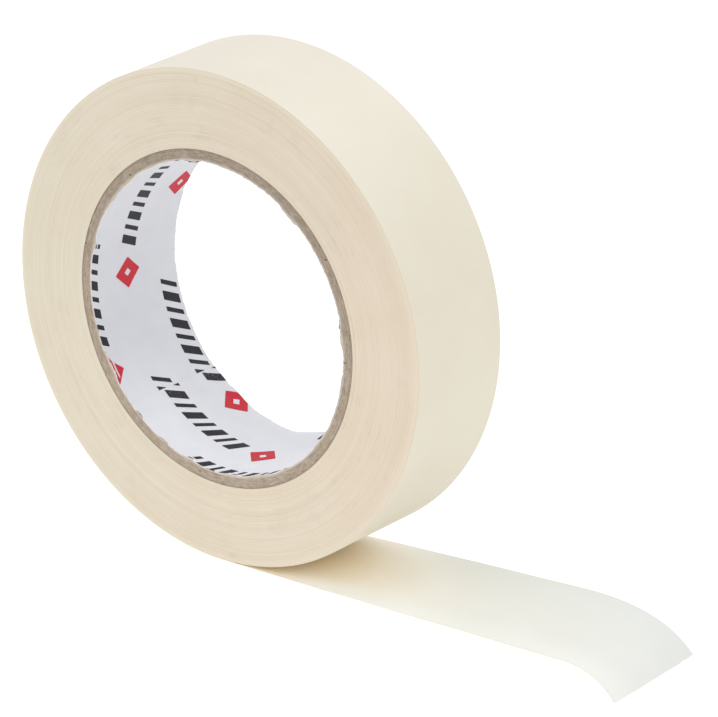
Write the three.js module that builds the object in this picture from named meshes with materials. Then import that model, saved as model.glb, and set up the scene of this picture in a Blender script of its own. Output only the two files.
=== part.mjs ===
// A roll of masking tape standing on its tread, with a short free tail of tape beside it.
// Millimetres, +Z up. The roll's axis runs along Y, the origin is the middle of the flat that
// the roll stands on, and the tail leaves the bottom of the roll towards +X.

import * as THREE from 'three';

// The roll as a whole
const WIDTH = 30; // of the tape, and of the core that was cut with it
const ROLL_R = 60; // outside of the wound tape
const BORE_R = 38; // inside of the core, which fits a 76 mm hub
const SIDES = 96; // flats round each ring, one of them straight down: the roll stands on it

// The core: a printed liner inside plies of board. Every layer is a sheet bent once round, with
// a straight seam along the bore. Seams are in degrees round from the foot, towards +X.
const LINER_T = 0.15;
const PLY_COUNT = 5;
const PLY_T = 0.5;
const GLUE_LINE = 0.03; // between each layer and the next
const SEAM_GAP = 0.3; // between the two edges of one sheet
const LINER_SEAM = -42;
const SEAM_STAGGER = 132; // from each layer's seam to the next one's

// The tape: crepe paper with adhesive on the side that faces the core
const PAPER_T = 0.09;
const ADHESIVE_T = 0.025;
const COAT_LINE = 0.01; // between the paper and its adhesive

// The tail. A run is a distance along the tape from the foot of the roll.
const TAIL_START = 15; // clear of the wound tape above it
const TAIL_FLEX = 60; // the line that the tail bends about
const TAIL_END = 119.3; // the cut end
const FLEX_GAP = 0.3; // between the two halves of the tail
const TAIL_STEP = 3; // length of one flat along the tail
const CURVE_STEP = 0.25; // step used to follow an edge's slope

// Each edge leaves the roll at its lift, in degrees, and runs straight to curlFrom. From there
// it turns down by curl degrees in all, slowly at first where the power is high.
const FRONT_EDGE = { y: -WIDTH / 2, lift: 3.4, curlFrom: 102, curl: 56, power: 1.3 };
const BACK_EDGE = { y: WIDTH / 2, lift: 5.5, curlFrom: 76, curl: 51.5, power: 2.7 };

const linerPaper = { color: 0xdcdde2, roughness: 0.35, metalness: 0 };
const greyBoard = { color: 0xa3937c, roughness: 0.95, metalness: 0 };
const crepePaper = { color: 0xe7dcc5, roughness: 0.8, metalness: 0 };
const adhesive = { color: 0xeeeee2, roughness: 0.4, metalness: 0 };

const { degToRad, clamp } = THREE.MathUtils;
const roll = new THREE.Group();

function addPiece(name, geometry, look) {
  const mesh = new THREE.Mesh(geometry, new THREE.MeshStandardMaterial(look));
  mesh.name = name;
  roll.add(mesh);
  return mesh;
}

// A ring about the roll's axis. Its radii are measured to the middles of its flats.
function ring(inner, outer) {
  const toCorner = 1 / Math.cos(Math.PI / SIDES);
  const half = WIDTH / 2;
  const outline = [
    new THREE.Vector2(inner * toCorner, -half),
    new THREE.Vector2(outer * toCorner, -half),
    new THREE.Vector2(outer * toCorner, half),
    new THREE.Vector2(inner * toCorner, half),
  ];
  return new THREE.LatheGeometry([...outline, outline[0]], SIDES, Math.PI / SIDES);
}

// A closed body through four-cornered sections. Opposite sides are split along matching
// diagonals, so that a twisted layer lies flat on the one under it.
function loft(sections) {
  const corners = 4;
  const index = [];
  for (let s = 0; s + 1 < sections.length; s++) {
    for (let c = 0; c < corners; c++) {
      const a = s * corners + c;
      const b = s * corners + ((c + 1) % corners);
      const [nextA, nextB] = [a + corners, b + corners];
      if (c < corners / 2) index.push(a, b, nextB, a, nextB, nextA);
      else index.push(a, b, nextA, b, nextB, nextA);
    }
  }
  const last = (sections.length - 1) * corners;
  index.push(0, 2, 1, 0, 3, 2);
  index.push(last, last + 1, last + 2, last, last + 2, last + 3);
  return new THREE.BufferGeometry().setFromPoints(sections.flat()).setIndex(index);
}

// A sheet bent once round the roll's axis, on the same flats as a ring, with its seam open.
function bentSheet(inner, thickness, seamAngle) {
  const pitch = (2 * Math.PI) / SIDES;
  const halfGap = SEAM_GAP / inner / 2;
  const seam = degToRad(seamAngle);
  const angles = [seam + halfGap];
  const firstCorner = Math.floor((seam + halfGap) / pitch + 0.5) + 0.5;
  for (let corner = firstCorner; corner * pitch < seam + 2 * Math.PI - halfGap; corner++) {
    angles.push(corner * pitch);
  }
  angles.push(seam + 2 * Math.PI - halfGap);
  return loft(angles.map((angle) => {
    const offFlat = angle - pitch * Math.round(angle / pitch);
    const corner = (radius, y) => new THREE.Vector3(
      (radius * Math.sin(angle)) / Math.cos(offFlat), y,
      (-radius * Math.cos(angle)) / Math.cos(offFlat));
    const outer = inner + thickness;
    const half = WIDTH / 2;
    return [corner(outer, -half), corner(outer, half), corner(inner, half), corner(inner, -half)];
  }));
}

// Slope of one edge of the tail, in radians above level.
function slopeAt(edge, run) {
  const along = clamp((run - edge.curlFrom) / (TAIL_END - edge.curlFrom), 0, 1);
  return degToRad(edge.lift - edge.curl * along ** edge.power);
}

// Two points of one edge, at the given heights above the tape's outer face.
function edgeAt(edge, run, heights) {
  const leave = degToRad(edge.lift);
  let x = ROLL_R * Math.sin(leave);
  let z = ROLL_R * (1 - Math.cos(leave));
  const free = run - ROLL_R * leave;
  const steps = Math.ceil(free / CURVE_STEP);
  for (let step = 0; step < steps; step++) {
    const slope = slopeAt(edge, run - free + (free * (step + 0.5)) / steps);
    x += (Math.cos(slope) * free) / steps;
    z += (Math.sin(slope) * free) / steps;
  }
  const slope = slopeAt(edge, run);
  return heights.map((height) => new THREE.Vector3(
    x - height * Math.sin(slope), edge.y, z + height * Math.cos(slope)));
}

// One layer of the tail, between two runs and two heights above the tape's outer face.
function tailLayer(from, to, low, high) {
  const steps = Math.ceil((to - from) / TAIL_STEP);
  const sections = [];
  for (let step = 0; step <= steps; step++) {
    const run = from + ((to - from) * step) / steps;
    const [frontLow, frontHigh] = edgeAt(FRONT_EDGE, run, [low, high]);
    const [backLow, backHigh] = edgeAt(BACK_EDGE, run, [low, high]);
    sections.push([frontLow, backLow, backHigh, frontHigh]);
  }
  return loft(sections);
}

// The liner and its plies, from the bore outwards. Returns the radius where the tape starts.
function addCore() {
  const liner = addPiece('core_liner', bentSheet(BORE_R, LINER_T, LINER_SEAM), linerPaper);
  liner.position.z = ROLL_R;
  let inner = BORE_R + LINER_T + GLUE_LINE;
  for (let ply = 1; ply <= PLY_COUNT; ply++) {
    const sheet = bentSheet(inner, PLY_T, LINER_SEAM + ply * SEAM_STAGGER);
    addPiece(`core_ply_${ply}`, sheet, greyBoard).position.z = ROLL_R;
    inner += PLY_T + GLUE_LINE;
  }
  return inner;
}

function addTail() {
  const coat = PAPER_T + COAT_LINE;
  const halves = {
    root: [TAIL_START, TAIL_FLEX - FLEX_GAP / 2],
    tip: [TAIL_FLEX + FLEX_GAP / 2, TAIL_END],
  };
  for (const [half, [from, to]] of Object.entries(halves)) {
    addPiece(`tail_paper_${half}`, tailLayer(from, to, 0, PAPER_T), crepePaper);
    addPiece(`tail_adhesive_${half}`, tailLayer(from, to, coat, coat + ADHESIVE_T), adhesive);
  }
}

const coreOutside = addCore();
addPiece('tape_pack', ring(coreOutside, ROLL_R), crepePaper).position.z = ROLL_R;
addTail();

export default roll;
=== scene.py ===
"""A roll of crepe paper masking tape on a board core, standing on its tread with a free tail.

The CAD frame gives every place. This script makes the camera and the light, and replaces the
plain CAD layers with detailed ones: the wound turns, the board plies, the printed liner and
the outermost strip, which runs once round the roll and then off along the floor as the tail.
Lengths inside the builders are millimetres; MM turns them into metres.
"""

import math

import bpy
import numpy as np
from mathutils import Matrix, Vector


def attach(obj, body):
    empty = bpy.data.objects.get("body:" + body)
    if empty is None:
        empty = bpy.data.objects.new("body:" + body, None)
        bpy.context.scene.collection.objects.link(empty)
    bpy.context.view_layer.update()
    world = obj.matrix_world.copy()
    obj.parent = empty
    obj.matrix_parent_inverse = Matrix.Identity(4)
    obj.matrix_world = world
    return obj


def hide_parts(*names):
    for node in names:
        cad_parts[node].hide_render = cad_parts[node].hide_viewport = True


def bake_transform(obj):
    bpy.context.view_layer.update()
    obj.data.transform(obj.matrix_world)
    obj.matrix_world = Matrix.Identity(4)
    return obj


MM = 0.001
SEED = 20

# The roll, as the CAD frame has it
ROLL_R = 60.0
HALF_WIDTH = 15.0
BORE_R = 38.0
LINER_T = 0.15
PLY_T = 0.5
GLUE_LINE = 0.03
PLY_COUNT = 5
LINER_SEAM = -42.0  # degrees from the foot, as all angles here
SEAM_STAGGER = 132.0  # degrees from each ply's seam to the next one's
SEAM_GAP = 0.3

# The outermost strip of tape
PAPER_T = 0.098
ADHESIVE_FROM = 0.102
TAPE_T = 0.125
RIM_DROP = 0.28  # how far the outermost turn's edges are pressed in
RIM_DEPTH = 0.8  # how deep into the roll that reaches
TAIL_END = 119.3  # where it is cut off, measured along the tape from the roll's foot
# Its edges: degrees at which each leaves the roll, and how each curls down to the cut end
FRONT_EDGE = {"lift": 3.4, "curl_from": 102.0, "curl": 56.0, "power": 1.3}
BACK_EDGE = {"lift": 5.5, "curl_from": 76.0, "curl": 51.5, "power": 2.7}
LAP_CLEAR = 4.4  # degrees from where the strip leaves to where it goes under itself
COAT_INSET = 0.03  # how far the adhesive stays back from the paper's edges
EDGE_IN, EDGE_OUT = 0.06, 0.08  # how the pressed edge leans in and out through the tape
CUPPING = 0.3  # how far the free tail's middle sags between its edges
RIPPLE, RIPPLE_RUN = 0.07, 5.3  # a faint ripple along the free tail

# Sharp corners: faces that meet at more than this many degrees
SHARP_ANGLE = 35

# The camera, at the photograph's viewing angle
CAMERA_AZIMUTH = 38.697
CAMERA_ELEVATION = 22.895
CAMERA_ROLL = 1.162
CAMERA_DISTANCE = 1.3474
CAMERA_AIM = Vector((0.02176, 0.01109, 0.04823))
CAMERA_LENS = 291.62
SENSOR = 36.0


# ---------------------------------------------------------------- meshes


def smoothstep(x, low, high):
    t = np.clip((np.asarray(x, float) - low) / (high - low), 0, 1)
    return t * t * (3 - 2 * t)


def round_noise(rng, angles, lowest, highest, count):
    """Smooth noise of about unit size round a circle, from waves of the given orders."""
    total = np.zeros_like(angles)
    for order in rng.integers(lowest, highest + 1, count):
        total += np.cos(order * angles + rng.uniform(0, 2 * math.pi))
    return total / math.sqrt(count / 2)


def mesh_piece(name, points, faces, look, layers):
    """A mesh object from points in millimetres, with smooth faces and sharp corners. The layers
    are values stored at the points, which the look reads."""
    mesh = bpy.data.meshes.new(name)
    mesh.from_pydata((points * MM).tolist(), [], faces)
    mesh.materials.append(look)
    mesh.polygons.foreach_set("use_smooth", [True] * len(mesh.polygons))
    for layer, values in layers.items():
        values = np.asarray(values, np.float32)
        kind = "FLOAT_VECTOR" if values.ndim == 2 else "FLOAT"
        attribute = mesh.attributes.new(layer, kind, "POINT")
        attribute.data.foreach_set("vector" if values.ndim == 2 else "value", values.ravel())
    mesh.update()
    mesh.set_sharp_from_angle(angle=math.radians(SHARP_ANGLE))
    piece = bpy.data.objects.new(name, mesh)
    bpy.context.scene.collection.objects.link(piece)
    return piece


def sweep_faces(sections, corners, closed, first=0):
    """Quads between consecutive closed sections, and end faces if the sweep is open."""
    faces = []
    for s in range(sections if closed else sections - 1):
        a = first + s * corners
        b = first + ((s + 1) % sections) * corners
        for c in range(corners):
            d = (c + 1) % corners
            faces.append((a + c, a + d, b + d, b + c))
    if not closed:
        half = corners // 2
        last = first + (sections - 1) * corners
        for c in range(half - 1):
            mirror = corners - 1 - c
            faces.append((first + c, first + mirror, first + mirror - 1, first + c + 1))
            faces.append((last + c, last + c + 1, last + mirror - 1, last + mirror))
    return faces


def turned(radius, angle, y):
    """Points about the roll's axis, angles from the foot towards +X, in millimetres."""
    radius, angle, y = np.broadcast_arrays(radius, angle, y)
    return np.stack([radius * np.sin(angle), y, ROLL_R - radius * np.cos(angle)], -1)


def wind_layer(angle, radius):
    """Coordinates wound with the tape: cosine and sine of the angle, and the radius."""
    parts = np.broadcast_arrays(np.cos(angle)[:, None], np.sin(angle)[:, None], radius[None])
    return np.stack(parts, -1)


# ---------------------------------------------------------------- looks


class Look:
    """A node material being built: a Principled shader and the nodes that feed it."""

    def __init__(self, name, **sockets):
        self.material = bpy.data.materials.new(name)
        self.material.use_nodes = True
        self.tree = self.material.node_tree
        self.tree.nodes.clear()
        self.shader = self.add("ShaderNodeBsdfPrincipled", **sockets)
        output = self.add("ShaderNodeOutputMaterial")
        self.link(self.shader.outputs["BSDF"], output.inputs["Surface"])

    def add(self, kind, settings=None, **sockets):
        node = self.tree.nodes.new(kind)
        for key, value in (settings or {}).items():
            setattr(node, key, value)
        for key, value in sockets.items():
            socket = node.inputs[key.replace("_", " ")]
            if isinstance(value, bpy.types.NodeSocket):
                self.link(value, socket)
            else:
                socket.default_value = value
        return node

    def link(self, source, target):
        self.tree.links.new(source, target)

    def place(self, attribute=None, scale=(1, 1, 1)):
        """Coordinates: a stored attribute or the object's own metres, scaled."""
        if attribute:
            source = self.add("ShaderNodeAttribute", {"attribute_name": attribute})
            vector = source.outputs["Vector"]
        else:
            vector = self.add("ShaderNodeTexCoord").outputs["Object"]
        mapping = self.add("ShaderNodeMapping", Vector=vector, Scale=scale)
        return mapping.outputs["Vector"]

    def parts(self, attribute):
        """The X, Y and Z of a stored attribute."""
        return self.add("ShaderNodeSeparateXYZ", Vector=self.place(attribute)).outputs

    def noise(self, vector, detail, roughness):
        node = self.add("ShaderNodeTexNoise", Vector=vector, Scale=1.0, Detail=detail,
                        Roughness=roughness)
        return node.outputs["Fac"]

    def ramp(self, fac, stops):
        node = self.add("ShaderNodeValToRGB", Fac=fac)
        elements = node.color_ramp.elements
        while len(elements) < len(stops):
            elements.new(0.5)
        for element, (position, value) in zip(elements, stops):
            element.position = position
            element.color = (*value, 1) if isinstance(value, tuple) else (*[value] * 3, 1)
        return node.outputs["Color"]

    def mix(self, fac, a, b, blend="MIX"):
        node = self.add("ShaderNodeMix", {"data_type": "RGBA", "blend_type": blend})
        for index, value in ((0, fac), (6, a), (7, b)):
            socket = node.inputs[index]
            if isinstance(value, bpy.types.NodeSocket):
                self.link(value, socket)
            else:
                socket.default_value = (*value, 1) if isinstance(value, tuple) else value
        return node.outputs[2]

    def math(self, operation, a, b=0.0):
        node = self.add("ShaderNodeMath", {"operation": operation})
        for socket, value in zip(node.inputs, (a, b)):
            if isinstance(value, bpy.types.NodeSocket):
                self.link(value, socket)
            else:
                socket.default_value = value
        return node.outputs[0]

    def scalar(self, attribute):
        return self.add("ShaderNodeAttribute", {"attribute_name": attribute}).outputs["Fac"]

    def multiply(self, share, colour, tone):
        return self.mix(share, colour, tone, "MULTIPLY")

    def unit(self, value, low, high):
        """A value between low and high brought to between 0 and 1."""
        return self.math("MULTIPLY", self.math("ADD", value, -low), 1.0 / (high - low))

    def bump(self, height, distance, strength):
        node = self.add("ShaderNodeBump", Height=height, Distance=distance, Strength=strength)
        return node.outputs["Normal"]

    def finish(self, colour, roughness=None, normal=None):
        self.link(colour, self.shader.inputs["Base Color"])
        if roughness:
            self.link(roughness, self.shader.inputs["Roughness"])
        if normal:
            self.link(normal, self.shader.inputs["Normal"])
        return self.material


GROOVE_TURN = 2 * math.pi / 0.64  # radians for each millimetre, for grooves 0.64 mm apart
STAIN = (0.74, 0.70, 0.40)
# painted highlight: a paler tone along the side faces' rounded outer rim
PAINTED_RIM_HIGHLIGHT = (0.743, 0.675, 0.527)


def wound_look():
    """The side faces: edges of the wound turns, as fine rings of slightly different tone, with
    scuffs and rubbed patches, and a painted highlight as a paler band along the outer rim. A
    painted shade makes them slowly darker towards the top, and a painted warm light makes them
    warmer towards +X."""
    look = Look("wound_edges", Roughness=0.8, Specular_IOR_Level=0.22)
    fine = look.noise(look.place("wind", (0.5, 0.5, 3.1)), 1.0, 0.5)
    short = look.noise(look.place("wind", (6.0, 6.0, 3.4)), 2.0, 0.6)
    clouds = look.noise(look.place(None, (55, 55, 55)), 3.0, 0.6)
    scuffs = look.noise(look.place(None, (380, 200, 380)), 2.0, 0.5)
    colour = look.ramp(fine, [(0.25, (0.689, 0.611, 0.485)), (0.5, (0.722, 0.644, 0.522)),
                              (0.75, (0.743, 0.666, 0.544))])
    colour = look.multiply(0.5, colour, look.ramp(short, [(0.3, 0.95), (0.7, 1.0)]))
    wind = look.parts("wind")
    grooves = look.math("MULTIPLY", wind["Z"], GROOVE_TURN)
    grooves = look.math("SINE", look.math("ADD", grooves, look.math("MULTIPLY", short, 5.0)))
    grooves = look.math("MULTIPLY", grooves, look.math("SUBTRACT", fine, 0.1))
    grooves = look.ramp(look.math("ADD", grooves, 0.5), [(0.0, 0.945), (0.9, 1.0)])
    colour = look.multiply(0.8, colour, grooves)
    smudge = look.ramp(clouds, [(0.3, (0.955, 0.94, 0.915)), (0.62, (1.0, 1.0, 1.0))])
    colour = look.multiply(0.6, colour, smudge)
    scuff = look.ramp(scuffs, [(0.69, 1.0), (0.8, 0.92)])
    colour = look.multiply(0.8, colour, scuff)
    rubbed = look.noise(look.place(None, (170, 170, 170)), 2.0, 0.6)
    rubbed = look.ramp(rubbed, [(0.56, 0.0), (0.7, 0.5)])
    strokes = look.ramp(short, [(0.36, (0.87, 0.855, 0.84)), (0.6, (1.0, 1.0, 1.0))])
    colour = look.mix(rubbed, colour, look.multiply(1.0, colour, strokes))
    spot = look.math("MULTIPLY", look.scalar("spot"), 0.35)
    colour = look.mix(spot, colour, STAIN)
    # painted highlight along the outer rim
    colour = look.mix(look.scalar("rim"), colour, PAINTED_RIM_HIGHLIGHT)
    # painted shade, darker towards the top, and painted warm light towards +X
    for axis, low, high in (("X", (0.928, 0.928, 0.928), (1.0, 1.0, 1.0)),
                            ("Y", (0.98, 1.0, 1.0), (1.0, 0.97, 0.957))):
        tone = look.ramp(look.unit(wind[axis], -1.0, 1.0), [(0.0, low), (1.0, high)])
        colour = look.multiply(1.0, colour, tone)
    height = look.math("MULTIPLY", fine, 0.8)
    height = look.math("ADD", height, look.math("MULTIPLY", short, 0.4))
    return look.finish(colour, normal=look.bump(height, 0.08 * MM, 0.8))


# painted light on the tread just above the tail, where the roll's underside is in shade
PAINTED_CREVICE_LIGHT = (0.95, 0.88, 0.74)  # at the strip's start


def crepe_look():
    """The backing: smooth crepe paper whose wrinkles run across the tape. Its tone changes
    slowly round the roll as painted shade and light: darker facing +X and just past the top,
    lightest near the top. Painted light makes it lightest of all where the strip starts, just
    above the tail, where the roll's underside is in shade."""
    look = Look("crepe_backing", Roughness=0.72, Specular_IOR_Level=0.3)
    wrinkles = look.noise(look.place("run", (1.5, 0.16, 1)), 4.0, 0.62)
    fibres = look.noise(look.place("run", (2.6, 1.8, 1)), 2.0, 0.5)
    clouds = look.noise(look.place("run", (0.05, 0.05, 1)), 2.0, 0.5)
    colour = look.ramp(wrinkles, [(0.3, (0.767, 0.722, 0.623)), (0.55, (0.774, 0.730, 0.633)),
                                  (0.75, (0.780, 0.738, 0.642))])
    round_roll = look.unit(look.parts("run")["X"], -2 * math.pi * ROLL_R, 0.0)
    # painted shade and light round the roll: darker facing +X and just past the top, lightest near
    # the top
    tone = look.ramp(round_roll, [
        (0.0, (0.96, 0.955, 0.93)), (0.2, (0.96, 0.955, 0.92)), (0.3, (0.925, 0.915, 0.87)),
        (0.43, (1.0, 1.0, 1.0)), (0.53, (0.935, 0.935, 0.95)), (1.0, (0.96, 0.955, 0.93))])
    colour = look.multiply(1.0, colour, tone)
    # painted light where the strip starts, just above the tail
    painted_crevice_share = look.ramp(round_roll, [(0.0, 1.0), (0.07, 1.0), (0.13, 0.0)])
    colour = look.mix(painted_crevice_share, colour, PAINTED_CREVICE_LIGHT)
    tone = look.ramp(clouds, [(0.3, (0.975, 0.97, 0.955)), (0.7, (1.0, 1.0, 1.0))])
    colour = look.multiply(1.0, colour, tone)
    height = look.math("ADD", wrinkles, look.math("MULTIPLY", fibres, 0.25))
    return look.finish(colour, normal=look.bump(height, 0.02 * MM, 0.5))


# painted light along the front edge of the tail
PAINTED_FRONT_LIGHT = (0.93, 0.93, 0.87)  # along the front edge, near the roll


def adhesive_look():
    """The face that was wound inwards: a smooth coat, pale and faintly green towards the cut end.
    Where the tape has just come off the roll it gets painted warm light and shade, with painted
    light along the front edge, and painted shade makes the back edge a little darker."""
    look = Look("adhesive_face", Roughness=0.42, Specular_IOR_Level=0.4)
    wrinkles = look.noise(look.place("run", (0.9, 0.1, 1)), 3.0, 0.55)
    clouds = look.noise(look.place("run", (0.05, 0.07, 1)), 2.0, 0.5)
    # painted warm light and shade near the tail's root, fading to the coat's own pale, faintly
    # green colour
    colour = look.ramp(look.scalar("root_light_fade"), [
        (0.0, (1.0, 0.875, 0.69)), (0.13, (1.0, 0.84, 0.59)), (0.24, (1.0, 0.885, 0.695)),
        (0.34, (1.0, 0.94, 0.83)), (0.46, (0.88, 0.86, 0.785)), (0.53, (0.81, 0.797, 0.73)),
        (0.63, (0.763, 0.767, 0.712)), (1.0, (0.76, 0.767, 0.737))])
    # painted light along the front edge
    colour = look.mix(look.scalar("pale"), colour, PAINTED_FRONT_LIGHT)
    tone = look.ramp(clouds, [(0.3, (0.975, 0.975, 0.965)), (0.7, (1.0, 1.0, 1.0))])
    colour = look.multiply(1.0, colour, tone)
    # painted shade: the back edge a little darker
    across = look.unit(look.parts("run")["Y"], -HALF_WIDTH, HALF_WIDTH)
    coat = look.ramp(across, [(0.0, (1.0, 1.0, 1.0)), (0.4, (0.99, 0.99, 0.985)),
                              (1.0, (0.94, 0.95, 0.95))])
    colour = look.multiply(1.0, colour, coat)
    roughness = look.ramp(wrinkles, [(0.3, 0.38), (0.7, 0.52)])
    return look.finish(colour, roughness, look.bump(wrinkles, 0.05 * MM, 0.35))


BOARD_GLUE = (0.215, 0.165, 0.12)
BOARD_PULP = (0.68, 0.625, 0.56)


def board_look():
    """Grey board: short fibres along each ply, darker where the glue soaked in, paler where
    the pulp is torn open at the bore, and darker towards the top of the roll by a painted shade."""
    look = Look("core_board_fibres", Roughness=0.95, Specular_IOR_Level=0.1)
    along = look.noise(look.place("wind", (22, 22, 2.6)), 4.0, 0.65)
    specks = look.noise(look.place(None, (2300, 1500, 2300)), 2.0, 0.6)
    clouds = look.noise(look.place(None, (420, 420, 420)), 3.0, 0.6)
    colour = look.ramp(along, [(0.25, (0.35, 0.277, 0.207)), (0.5, (0.484, 0.394, 0.307)),
                               (0.75, (0.627, 0.531, 0.432))])
    # painted shade: darker towards the top of the roll
    foot = look.unit(look.parts("wind")["X"], -1.0, 1.0)
    colour = look.multiply(1.0, colour, look.ramp(foot, [(0.0, 0.77), (1.0, 1.0)]))
    colour = look.multiply(0.5, colour, look.ramp(specks, [(0.3, 0.7), (0.6, 1.0)]))
    colour = look.multiply(0.6, colour, look.ramp(clouds, [(0.3, 0.76), (0.65, 1.0)]))
    colour = look.mix(look.scalar("glue"), colour, BOARD_GLUE)
    colour = look.mix(look.scalar("pulp"), colour, BOARD_PULP)
    height = look.math("ADD", along, look.math("MULTIPLY", specks, 0.6))
    return look.finish(colour, normal=look.bump(height, 0.25 * MM, 0.8))


WORN_LINER = (0.74, 0.70, 0.64)


def liner_look():
    """Coated white paper with a faint cloudiness, palest low in the bore by painted light, and
    worn at its rims.
    """
    look = Look("liner_coated", Roughness=0.38, Specular_IOR_Level=0.42)
    clouds = look.noise(look.place(None, (220, 220, 220)), 3.0, 0.55)
    fibres = look.noise(look.place("run", (1.2, 2.6, 1)), 3.0, 0.6)
    colour = look.ramp(clouds, [(0.3, (0.77, 0.78, 0.82)), (0.7, (0.805, 0.815, 0.853))])
    # painted light: palest low in the bore and towards the near rim
    pale = look.ramp(look.scalar("pale"), [(0.0, 0.84), (1.0, 1.0)])
    colour = look.multiply(1.0, colour, pale)
    worn = look.ramp(look.scalar("rim"), [(0.4, 0.0), (1.0, 1.0)])
    colour = look.mix(look.math("MULTIPLY", worn, 0.5), colour, WORN_LINER)
    roughness = look.ramp(fibres, [(0.3, 0.33), (0.7, 0.48)])
    return look.finish(colour, roughness, look.bump(fibres, 0.02 * MM, 0.35))


DARK_INK, FADED_DARK = (0.021, 0.021, 0.025), (0.036, 0.036, 0.041)
RED_INK, FADED_RED = (0.60, 0.022, 0.04), (0.53, 0.045, 0.06)
SHOWS_THROUGH = (0.66, 0.65, 0.67)  # the liner's colour where ink is worn off


def ink_look(name, ink, faded):
    """Printing ink, which lets the paper through in specks where it is worn."""
    look = Look(name, Roughness=0.55, Specular_IOR_Level=0.16)
    specks = look.noise(look.place("run", (2.4, 1.7, 1)), 4.0, 0.7)
    clouds = look.noise(look.place("run", (0.35, 0.35, 1)), 2.0, 0.5)
    edge = look.math("SUBTRACT", 0.72, look.math("MULTIPLY", look.scalar("wear"), 0.2))
    bare = look.math("MULTIPLY", look.math("SUBTRACT", specks, edge), 5.0)
    bare = look.ramp(bare, [(0.0, 0.0), (1.0, 1.0)])  # held between 0 and 1
    colour = look.mix(clouds, ink, faded)
    colour = look.mix(look.math("MULTIPLY", bare, 0.4), colour, SHOWS_THROUGH)
    return look.finish(colour)


FLOOR_GLOW = 0.73


def floor_look():
    """A matt white floor that glows evenly, like a light table."""
    look = Look("studio_floor", Roughness=0.9, Specular_IOR_Level=0.1,
                Emission_Color=(1, 1, 1, 1), Emission_Strength=FLOOR_GLOW)
    clouds = look.noise(look.place(None, (3, 3, 3)), 2.0, 0.5)
    return look.finish(look.ramp(clouds, [(0.3, (0.40, 0.40, 0.40)), (0.7, (0.42, 0.42, 0.42))]))


# ---------------------------------------------------------------- the wound turns


SPOT = (-6.2, -15.0, 105.0)  # a small yellow stain on the near side face
UNDER_STRIP = 0.012  # the gap left under the outermost turn
# The first of three turns that sit to one side, and how far they do
STEPPED_RINGS = ((7, 0.04), (16, -0.03), (27, 0.03), (45, -0.02))
PATCHES = 110  # places where a turn or two sits to one side for part of the way round
MOST_SHIFT = 0.12  # the furthest that any turn sits to one side
BACK_FACE = 90  # added to the radius there, so that the two faces have different rings


def rim_half_width(radius):
    """Half the width of the roll at a radius: the outermost turns are pressed in a little."""
    inward = np.clip((radius - ROLL_R + RIM_DEPTH) / RIM_DEPTH, 0, 1)
    return HALF_WIDTH - RIM_DROP * inward**2


def wound_tape():
    """Every turn under the outermost one, each shifted sideways by its own small amount."""
    rng = np.random.default_rng(SEED)
    inner = BORE_R + LINER_T + GLUE_LINE + PLY_COUNT * (PLY_T + GLUE_LINE)
    outer = ROLL_R - TAPE_T - UNDER_STRIP
    turns = int((outer - inner) / TAPE_T)
    radii = np.linspace(inner, outer, turns + 1)
    sections = 216
    angle = np.arange(sections) * 2 * math.pi / sections

    turn = np.arange(turns + 1)
    wander = np.cumsum(rng.normal(0, 0.002, turns + 1))
    wander -= np.linspace(wander[0], wander[-1], turns + 1)
    phase = 2 * math.pi * turn / 5.3 + np.cumsum(rng.normal(0, 0.3, turns + 1))
    shift = wander + 0.018 * np.sin(phase) + rng.normal(0, 0.005, turns + 1)
    for ring, step in STEPPED_RINGS:
        shift[ring:ring + 3] += step
    sideways = np.tile(shift, (sections, 1))
    for _ in range(PATCHES):
        ring, middle = rng.integers(2, turns - 12), rng.uniform(0, 2 * math.pi)
        away = np.abs((angle - middle + math.pi) % (2 * math.pi) - math.pi)
        patch = 1 - smoothstep(away, 0.1, rng.uniform(0.25, 1.2))
        wide = rng.integers(1, 3)
        sideways[:, ring:ring + wide] += (rng.normal(0, 0.014) * patch)[:, None]
    sideways = np.clip(sideways, -MOST_SHIFT, MOST_SHIFT)
    sideways *= 1 - smoothstep(radii, outer - 1.2, outer)

    half = rim_half_width(radii)
    front = turned(radii, angle[:, None], -half + sideways)
    back = turned(radii, angle[:, None], half + sideways)
    section = np.concatenate([front, back[:, ::-1]], 1)
    corners = section.shape[1]
    radius = np.concatenate([radii, radii[::-1]])
    wind = wind_layer(angle, radius)
    wind[..., 2] += np.where(np.arange(corners) < corners // 2, 0, BACK_FACE)
    # how much of the painted rim highlight each point gets
    rim = np.broadcast_to(smoothstep(radius, ROLL_R - 1.6, ROLL_R - 0.6) * 0.5, wind.shape[:2])
    away = np.linalg.norm(section - np.array(SPOT), axis=-1)
    spot = 1 - smoothstep(away, 0.2, 1.3)
    piece = mesh_piece(
        "wound_tape", section.reshape(-1, 3), sweep_faces(sections, corners, True),
        wound_look(), {"wind": wind.reshape(-1, 3), "rim": rim.ravel(), "spot": spot.ravel()})
    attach(piece, "roll")
    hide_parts("tape_pack")
    return piece


# ---------------------------------------------------------------- the core


SWELL_DEPTH = 1.2  # how far in from each rim the core is swollen
NEAR_SWELL, FAR_SWELL = 0.15, 0.03  # how much each rim is
RAGGED_ENDS, PLAIN_ENDS = 0.1, 0.07  # how frayed the ends of a ply are
PLY_SLACK = 0.006  # keeps each ply clear of the next


def rim_swell(angle, side):
    """How far the cut rims of the core bulge into the bore, in millimetres. Angles in radians."""
    waves = sum(np.cos(order * angle + order * (2 + side)) for order in (5, 9, 16, 23))
    depth = NEAR_SWELL if side < 0 else FAR_SWELL
    return depth * np.clip(waves / 1.4 + 0.5, 0, 2) ** 2


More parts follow.
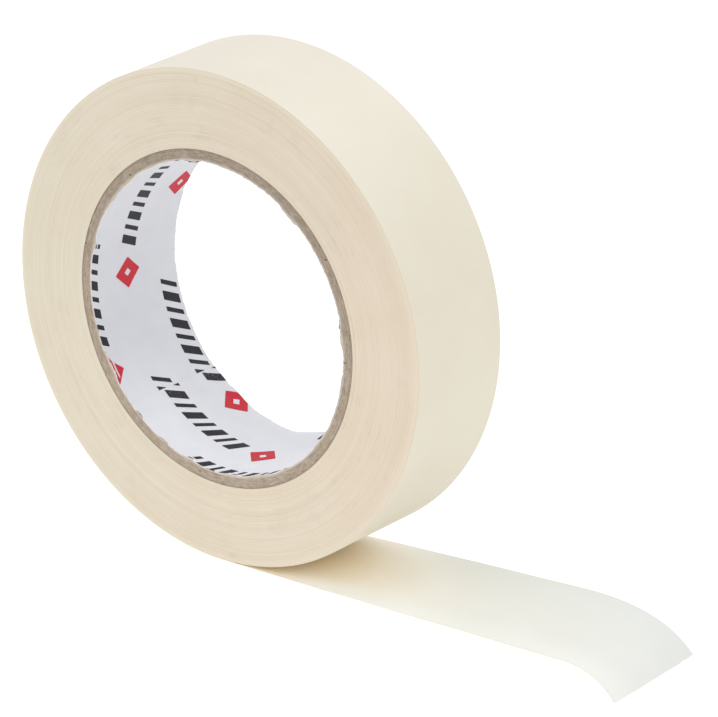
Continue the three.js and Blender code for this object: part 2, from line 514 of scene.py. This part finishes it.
def board_ply(number, look):
    """One turn of grey board with fibrous ends. The first and the last are the most ragged."""
    rng = np.random.default_rng(SEED + number)
    inner = BORE_R + LINER_T + GLUE_LINE + (number - 1) * (PLY_T + GLUE_LINE)
    seam = math.radians(LINER_SEAM + number * SEAM_STAGGER)
    gap = SEAM_GAP / inner / 2
    sections = 620
    angle = np.linspace(seam + gap, seam + 2 * math.pi - gap, sections)
    ragged = RAGGED_ENDS if number in (1, PLY_COUNT) else PLAIN_ENDS

    thick = PLY_T + GLUE_LINE - PLY_SLACK
    depths = np.array([0.0, 0.06, thick / 2, thick - 0.06, thick])
    reach = 1 - np.arange(depths.size) / (depths.size - 1)
    ends = []
    for side in (-1, 1):
        fray = np.abs(rng.normal(0, ragged, (sections, depths.size)))
        fray = (fray + np.roll(fray, 1, 0) + np.roll(fray, -1, 0)) / 3
        fray[:, (0, -1)] += 0.015
        if number == PLY_COUNT:
            fray[:, -2:] += 0.01
        swell = rim_swell(angle, side)[:, None] * reach if number == 1 else 0.0
        ends.append(turned(inner + depths - swell, angle[:, None], side * (HALF_WIDTH - fray)))
    shoulder = HALF_WIDTH - SWELL_DEPTH
    outside = turned(inner + thick, angle[:, None], np.array([-shoulder, shoulder]))
    inside = turned(inner, angle[:, None], np.array([shoulder, -shoulder]))
    section = np.concatenate([ends[0], outside, ends[1][:, ::-1], inside], 1)
    corners = section.shape[1]
    depth = np.concatenate([depths, [thick, thick], depths[::-1], [0, 0]])
    wind = wind_layer(angle, inner + depth)
    glue = np.where(np.abs(depth / thick - 0.5) > 0.4, 0.14, 0.0)
    pulp = np.zeros_like(depth)
    if number == PLY_COUNT:
        glue = np.maximum(glue, 0.6 * smoothstep(depth, 0, thick))
    if number == 1:
        pulp = 0.6 * (1 - depth / thick)
    glue, pulp = (np.broadcast_to(tone, wind.shape[:2]) for tone in (glue, pulp))
    piece = mesh_piece(
        f"board_ply_{number}", section.reshape(-1, 3), sweep_faces(sections, corners, False),
        look, {"wind": wind.reshape(-1, 3), "glue": glue.ravel(), "pulp": pulp.ravel()})
    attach(piece, "roll")
    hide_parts(f"core_ply_{number}")
    return piece


# The liner is one sheet. Its near end lies against the board, and its far end laps over that,
# so angles run from LINER_SEAM down to a full turn below it, and a little past it at the start.
LAP = 4.5
LAP_RISE = 0.17
# Near its far rim the liner stands off the board in two places: peeled a little past the foot
# of the bore, and creased before it. Lifts are millimetres and places are degrees.
PEEL_LIFT, PEEL_FROM, PEEL_TO = 1.6, (-3, 12), (22, 40)
CREASE_LIFT, CREASE_AT, CREASE_SPREAD = 0.6, -30, 6.5


def liner_inside(angle, y):
    """Radius of the liner's inner face at an angle in degrees along the sheet, in millimetres."""
    angle, y = np.broadcast_arrays(np.asarray(angle, float), np.asarray(y, float))
    end = LINER_SEAM - 360
    lap = 1 - smoothstep(angle, end + LAP, end + LAP + 3)
    radians = np.radians(angle)
    swell = np.where(y < 0, rim_swell(radians, -1), rim_swell(radians, 1))
    swell = swell * np.clip((np.abs(y) - HALF_WIDTH + SWELL_DEPTH) / SWELL_DEPTH, 0, 1)
    turn = (angle + 180) % 360 - 180
    peeled = PEEL_LIFT * smoothstep(turn, *PEEL_FROM) * (1 - smoothstep(turn, *PEEL_TO))
    creased = CREASE_LIFT * np.exp(-(((turn - CREASE_AT) / CREASE_SPREAD) ** 2))
    lift = peeled * smoothstep(y, 9, 15) + creased * smoothstep(y, 11.5, 15)
    return BORE_R - LAP_RISE * lap - swell - lift


def liner_painted_light(y, z):
    """How much painted light the liner gets, 0 to 1: most low in the bore and towards the near
    rim.
    """
    return (1 - smoothstep(z, 24, 46)) * np.clip(0.625 - 0.039 * y, 0.27, 1.0)


def paper_liner():
    """The printed liner: one sheet with torn rims, lapping over its own start."""
    rng = np.random.default_rng(SEED + 40)
    start, end = LINER_SEAM + LAP, LINER_SEAM - 360
    sections = 760
    angle = np.linspace(start, end, sections)
    across = np.array([-15, -14.6, -14.2, -13.4, -12, -9, -5, 0, 5, 9, 12, 12.8, 13.4, 13.9,
                       14.3, 14.6, 15.0])
    y = np.tile(across, (sections, 1))
    for column, side in ((0, -1), (-1, 1)):
        tear = np.abs(round_noise(rng, np.radians(angle), 30, 160, 14)) * 0.12
        deep = np.clip(round_noise(rng, np.radians(angle), 8, 50, 9) - 0.7, 0, 1) * 0.5
        y[:, column] -= side * np.clip(tear + deep - 0.06, -0.08, 0.5)
        beside = column - side
        y[:, beside] = side * np.minimum(np.abs(y[:, beside]), np.abs(y[:, column]) - 0.08)
    inside = liner_inside(angle[:, None], y)
    radians = np.radians(angle)[:, None]
    inner = turned(inside, radians, y)
    outer = turned(inside + LINER_T, radians, y)
    section = np.concatenate([inner, outer[:, ::-1]], 1)
    corners = section.shape[1]
    run = np.stack([np.broadcast_to(radians * BORE_R, y.shape), y, np.zeros_like(y)], -1)
    run = np.concatenate([run, run[:, ::-1]], 1)
    rim = smoothstep(np.abs(run[..., 1]), 14.3, 15.0)
    # painted light, most low in the bore and towards the near rim
    pale = liner_painted_light(section[..., 1], section[..., 2])
    piece = mesh_piece(
        "paper_liner", section.reshape(-1, 3), sweep_faces(sections, corners, False),
        liner_look(), {"run": run.reshape(-1, 3), "rim": rim.ravel(), "pale": pale.ravel()})
    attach(piece, "roll")
    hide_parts("core_liner")
    return piece


# The print: rows of slanted bars, each row led by a lozenge, in a pattern of its own. Places
# along the sheet are in millimetres from the liner's seam, and rows sit at heights y.
PRINT_PERIOD = 59.3
PRINT_SKEW = 1.3 / 360  # how far a row climbs across the liner for each degree
ROW_HEIGHTS = {-15.5: -12.7, -2.3: -44.6, 11.4: -75.5}  # row height: first lozenge, degrees
LOZENGE = (3.9, 4.2)  # half its length and half its height
LOZENGE_HOLE = 0.26  # size of the opening in it, as a share
HAIRLINE = 0.006  # keeps a lozenge's upper and lower halves from sharing faces
BAR_HEIGHT = 5.2
BAR_SLANT = 2.4
BARS = (2.3, 1.2, 2.3, 1.2, 2.3, 1.2, 2.3, 1.2)
BAR_SPACE = 1.65
WORD_GAP = 2.0
INK_STEP = 0.3
INK_HEIGHTS = (0.01, 0.03)  # ink's underside and face, inwards from the liner's face
PRINT_MARGIN = 0.12  # between the ink and the sheet's rims
END_MARGIN = 0.05  # between the ink and the sheet's ends
THINNEST = 0.06  # narrower slivers of ink are left out
TRIMMED_LOZENGE = (-15.5, 1)  # the row and repeat of one that was cut off with the rim


def ribbon(along, low, high):
    """A patch of ink between two heights along a stretch of the liner, clipped to the sheet."""
    degree = 180 / math.pi / BORE_R
    keep = (along >= -360 / degree + END_MARGIN) & (along <= -END_MARGIN)
    along, low, high = along[keep], low[keep], high[keep]
    if along.size < 2:
        return None
    climb = -along * degree * PRINT_SKEW
    limit = HALF_WIDTH - PRINT_MARGIN
    low = np.clip(low + climb, -limit, limit)
    high = np.clip(high + climb, -limit, limit)
    open_part = high - low > THINNEST
    along, low, high = along[open_part], low[open_part], high[open_part]
    if along.size < 2:
        return None
    share = np.linspace(0, 1, 9)
    y = low[:, None] + (high - low)[:, None] * share
    angle = LINER_SEAM + along * degree
    inside = liner_inside(angle[:, None], y)
    radians = np.radians(angle)[:, None]
    under, face = (turned(inside - height, radians, y) for height in INK_HEIGHTS)
    section = np.concatenate([under, face[:, ::-1]], 1)
    run = np.stack([np.broadcast_to(along[:, None], y.shape), y, np.zeros_like(y)], -1)
    wear = np.minimum(1.0, 0.18 + np.exp(along / 4.0) + np.exp(-(along + 360 / degree) / 6.0))
    wear = np.broadcast_to(wear[:, None], section.shape[:2])
    return section, np.concatenate([run, run[:, ::-1]], 1), wear


def bar_ribbons(right, height):
    """The slanted bars of one row, going away from its lozenge."""
    found = []
    edge = right
    for width in BARS:
        along = np.arange(edge - width - BAR_SLANT, edge + INK_STEP, INK_STEP / 3)
        rise = BAR_HEIGHT / BAR_SLANT
        low = np.maximum(-BAR_HEIGHT / 2, (along - edge) * rise + BAR_HEIGHT / 2)
        high = np.minimum(BAR_HEIGHT / 2, (along - edge + width) * rise + BAR_HEIGHT / 2)
        found.append((along, low + height, high + height))
        edge -= width + BAR_SPACE
    return found


def lozenge_ribbons(centre, height):
    """A diamond with a diamond opening, as an upper and a lower ribbon."""
    long, tall = LOZENGE
    along = np.arange(centre - long, centre + long + 0.01, INK_STEP / 3)
    outer = tall * (1 - np.abs(along - centre) / long)
    hole = np.maximum(HAIRLINE, tall * (LOZENGE_HOLE - np.abs(along - centre) / long))
    return [(along, height + hole, height + outer), (along, height - outer, height - hole)]


def printed_piece(name, ribbons, look):
    """All the patches of one ink, as one piece."""
    points, faces, run, wear = [], [], [], []
    first = 0
    for along, low, high in ribbons:
        patch = ribbon(along, low, high)
        if patch is None:
            continue
        section, where, worn = patch
        sections, corners = section.shape[:2]
        faces += sweep_faces(sections, corners, False, first)
        first += sections * corners
        points.append(section.reshape(-1, 3))
        run.append(where.reshape(-1, 3))
        wear.append(worn.ravel())
    piece = mesh_piece(name, np.concatenate(points), faces, look,
                       {"run": np.concatenate(run), "wear": np.concatenate(wear)})
    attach(piece, "roll")
    return piece


def liner_print():
    """Every row of the print, once for each time the pattern comes round."""
    mm_per_degree = math.radians(1) * BORE_R
    bars, lozenges = [], []
    for height, first in ROW_HEIGHTS.items():
        for repeat in range(-1, 5):
            centre = first * mm_per_degree - repeat * PRINT_PERIOD
            if (height, repeat) != TRIMMED_LOZENGE:
                lozenges += lozenge_ribbons(centre, height)
            bars += bar_ribbons(centre - LOZENGE[0] - WORD_GAP, height)
    printed_piece("print_bars", bars,
                  ink_look("ink_dark", DARK_INK, FADED_DARK))
    printed_piece("print_lozenges", lozenges,
                  ink_look("ink_red", RED_INK, FADED_RED))


# ---------------------------------------------------------------- the outermost strip


# How far the cut end is torn back, in millimetres, at shares of the tape's width
NICKS = ((0, 0.08), (0.3, 0.0), (0.62, 0.06), (0.8, 0.03), (0.845, 0.06), (0.87, 0.24),
         (0.9, 0.05), (0.94, 0.07), (0.96, 0.2), (1, 0.1))
NICKED = 1.6  # how far in from the cut end that reaches

# Lengths along the strip, in millimetres from the roll's foot
SLANTED = 20  # from the strip's start, which slants like the line where the tail leaves
FILLED = (-10, -9)  # the paper has the tape's whole thickness up to here
PRESSED = (2, 45)  # the pressed edges widen again over this
LOOSE_FROM, LOOSE_TO = (28, 60), (92, TAIL_END)  # the tail is loose in between


def edge_path(edge):
    """Runs, positions and slopes of one edge of the strip, from under itself to the cut end."""
    lift = math.radians(edge["lift"])
    step = 0.25
    leave = ROLL_R * lift
    under = ROLL_R * (lift + math.radians(LAP_CLEAR) - 2 * math.pi)
    band = np.linspace(under, leave, 1600)
    tail = np.arange(leave, TAIL_END + step, step)[1:]
    middle = tail - step / 2
    share = np.clip((middle - edge["curl_from"]) / (TAIL_END - edge["curl_from"]), 0, 1)
    slope = lift - math.radians(edge["curl"]) * share ** edge["power"]
    x = np.concatenate([ROLL_R * np.sin(band / ROLL_R),
                        ROLL_R * math.sin(lift) + np.cumsum(np.cos(slope)) * step])
    z = np.concatenate([ROLL_R * (1 - np.cos(band / ROLL_R)),
                        ROLL_R * (1 - math.cos(lift)) + np.cumsum(np.sin(slope)) * step])
    return np.concatenate([band, tail]), x, z, np.concatenate([band / ROLL_R, slope])


def strip_points(runs, across, low, high, inset):
    """Closed sections of one layer of the strip, between two heights above its outer face."""
    front, back = edge_path(FRONT_EDGE), edge_path(BACK_EDGE)
    nick = np.interp(across, *zip(*NICKS))
    near_end = smoothstep(runs, TAIL_END - NICKED, TAIL_END)
    first = np.interp(runs[0], [front[0][0], back[0][0]], [0, 1])
    place = runs[:, None] - near_end[:, None] * nick[None]
    place = place + (1 - smoothstep(runs, runs[0], runs[0] + SLANTED))[:, None] * (
        (back[0][0] - front[0][0]) * (across[None] - first))
    rows = []
    for path in (front, back):
        rows.append([np.interp(place, path[0], path[k]) for k in (1, 2, 3)])
    share = across[None]
    x, z, slope = (rows[0][k] * (1 - share) + rows[1][k] * share for k in range(3))
    band = runs < ROLL_R * math.radians(FRONT_EDGE["lift"])
    x[band] = ROLL_R * np.sin(place[band] / ROLL_R)
    z[band] = ROLL_R * (1 - np.cos(place[band] / ROLL_R))
    slope[band] = place[band] / ROLL_R
    loose = smoothstep(runs, *LOOSE_FROM) * (1 - smoothstep(runs, *LOOSE_TO))
    z = z - (CUPPING * loose)[:, None] * (1 - (2 * share - 1) ** 2)
    wave = RIPPLE * np.sin(runs / RIPPLE_RUN)[:, None] * np.sin(3 * math.pi * share + 0.6)
    z = z + wave * loose[:, None]
    pressed = 1 - smoothstep(runs, *PRESSED)
    half = HALF_WIDTH - RIM_DROP * pressed - inset
    y = half[:, None] * (2 * share - 1)
    outward = (pressed / half)[:, None] * y
    wound = 1 - smoothstep(runs, *FILLED)[:, None]
    heights = (np.full_like(wound, low), high + (max(TAPE_T, high) - high) * wound)
    faces = [np.stack([x - h * np.sin(slope), wide, z + h * np.cos(slope)], -1)
             for h, wide in zip(heights, (y - EDGE_IN * outward, y + EDGE_OUT * outward))]
    section = np.concatenate([faces[0], faces[1][:, ::-1]], 1)
    where = np.stack([place, np.broadcast_to(y, place.shape), np.zeros_like(place)], -1)
    return section, np.concatenate([where, where[:, ::-1]], 1)


def painted_root_light_fade(run, side):
    """How far along the tail a point is, 0 to 1, for the painted warm light and shade near the
    root to fade out: it fades sooner at the edges.
    """
    return np.clip(run / TAIL_END + 0.03 * side + 0.11 * side**2, 0, 1)


def front_edge_painted_light(run, side):
    """A stretch of painted light along the front edge, which fades again towards the cut end."""
    pale = smoothstep(-side, 0.3, 1.0) * smoothstep(run, 12, 36)
    return pale * (1 - 0.7 * smoothstep(run, 48, 80))


def strip_layer(name, runs, low, high, look, inset=0.0, tones=None):
    """One layer of the strip as a piece. Tones are functions of a point's run and of its side,
    -1 to 1, and are stored at the points."""
    across = np.unique(np.concatenate([np.linspace(0, 1, 25), [x for x, _ in NICKS[4:9]]]))
    section, where = strip_points(runs, across, low, high, inset)
    sections, corners = section.shape[:2]
    layers = {"run": where.reshape(-1, 3)}
    for layer, tone in (tones or {}).items():
        layers[layer] = tone(where[..., 0], where[..., 1] / HALF_WIDTH).ravel()
    return mesh_piece(name, section.reshape(-1, 3), sweep_faces(sections, corners, False),
                      look, layers)


def bend_with_tail(piece):
    """Bakes the piece's placement into its points."""
    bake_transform(piece)


def outer_strip():
    """The last turn and the tail: one strip of paper with the adhesive on its upper side."""
    under = ROLL_R * (math.radians(FRONT_EDGE["lift"] + LAP_CLEAR) - 2 * math.pi)
    band = np.linspace(under, 0, 217)
    tail = np.concatenate([np.arange(1.0, 116, 1.0), np.linspace(116.2, TAIL_END, 9)])
    paper = strip_layer("tape_strip", np.concatenate([band, tail]), 0.0, PAPER_T, crepe_look())
    glued = np.concatenate([np.linspace(-8, 0, 5), tail])
    coat = strip_layer("tape_adhesive", glued, ADHESIVE_FROM, TAPE_T, adhesive_look(),
                       COAT_INSET, {"root_light_fade": painted_root_light_fade, "pale": front_edge_painted_light})
    for piece in (paper, coat):
        bend_with_tail(piece)
    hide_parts("tail_paper_root", "tail_paper_tip")
    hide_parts("tail_adhesive_root", "tail_adhesive_tip")


# ---------------------------------------------------------------- the studio


AIMED_AT = (0.02, 0, 0.05)  # where both lamps point
FLOOR_REACH = 6
FLOOR_Z = -0.00006  # just under the object, which touches z = 0


def camera():
    """The camera, at the photograph's angle and with its framing."""
    angles = (CAMERA_AZIMUTH, CAMERA_ELEVATION, CAMERA_ROLL)
    around, above, roll = (math.radians(angle) for angle in angles)
    back = Vector((math.sin(around) * math.cos(above), -math.cos(around) * math.cos(above),
                   math.sin(above)))
    level = Vector((math.cos(around), math.sin(around), 0))
    rise = back.cross(level)
    right = level * math.cos(roll) + rise * math.sin(roll)
    up = rise * math.cos(roll) - level * math.sin(roll)
    data = bpy.data.cameras.new("camera")
    data.sensor_width = SENSOR
    data.lens = CAMERA_LENS
    data.clip_start, data.clip_end = 0.05, 20
    shot = bpy.data.objects.new("camera", data)
    turn = Matrix((right, up, back)).transposed().to_4x4()
    shot.matrix_world = Matrix.Translation(CAMERA_AIM + back * CAMERA_DISTANCE) @ turn
    bpy.context.scene.collection.objects.link(shot)
    bpy.context.scene.camera = shot


def area_light(name, place, size, power):
    """A round soft lamp aimed at the object."""
    data = bpy.data.lights.new(name, "AREA")
    data.shape = "DISK"
    data.size = size
    data.energy = power
    light = bpy.data.objects.new(name, data)
    light.location = place
    light.rotation_mode = "QUATERNION"
    light.rotation_quaternion = (Vector(AIMED_AT) - Vector(place)).to_track_quat("-Z", "Y")
    bpy.context.scene.collection.objects.link(light)


def studio():
    """White surroundings, two soft lamps and the floor."""
    world = bpy.data.worlds.new("studio")
    world.use_nodes = True
    sky = world.node_tree.nodes["Background"]
    sky.inputs["Color"].default_value = (1, 1, 1, 1)
    sky.inputs["Strength"].default_value = 1.0
    bpy.context.scene.world = world
    bpy.context.scene.view_settings.view_transform = "Standard"
    area_light("key", (-0.5, -1.0, 1.1), 1.0, 2.6)
    area_light("top", (0.1, 0.5, 1.5), 1.2, 2.6)
    corners = [(x * FLOOR_REACH, y * FLOOR_REACH, FLOOR_Z)
               for x, y in ((-1, -1), (1, -1), (1, 1), (-1, 1))]
    mesh = bpy.data.meshes.new("floor")
    mesh.from_pydata(corners, [], [(0, 1, 2, 3)])
    mesh.materials.append(floor_look())
    floor = bpy.data.objects.new("floor", mesh)
    bpy.context.scene.collection.objects.link(floor)


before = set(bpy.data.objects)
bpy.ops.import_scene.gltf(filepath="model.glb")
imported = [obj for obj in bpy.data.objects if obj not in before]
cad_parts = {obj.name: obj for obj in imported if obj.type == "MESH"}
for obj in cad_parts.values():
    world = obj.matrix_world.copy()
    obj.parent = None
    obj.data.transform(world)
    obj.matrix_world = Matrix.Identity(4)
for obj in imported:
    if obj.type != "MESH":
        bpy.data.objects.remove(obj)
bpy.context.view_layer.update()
camera()
turns = wound_tape()
board = board_look()
for ply in range(1, PLY_COUNT + 1):
    board_ply(ply, board)
paper_liner()
liner_print()
outer_strip()
studio()
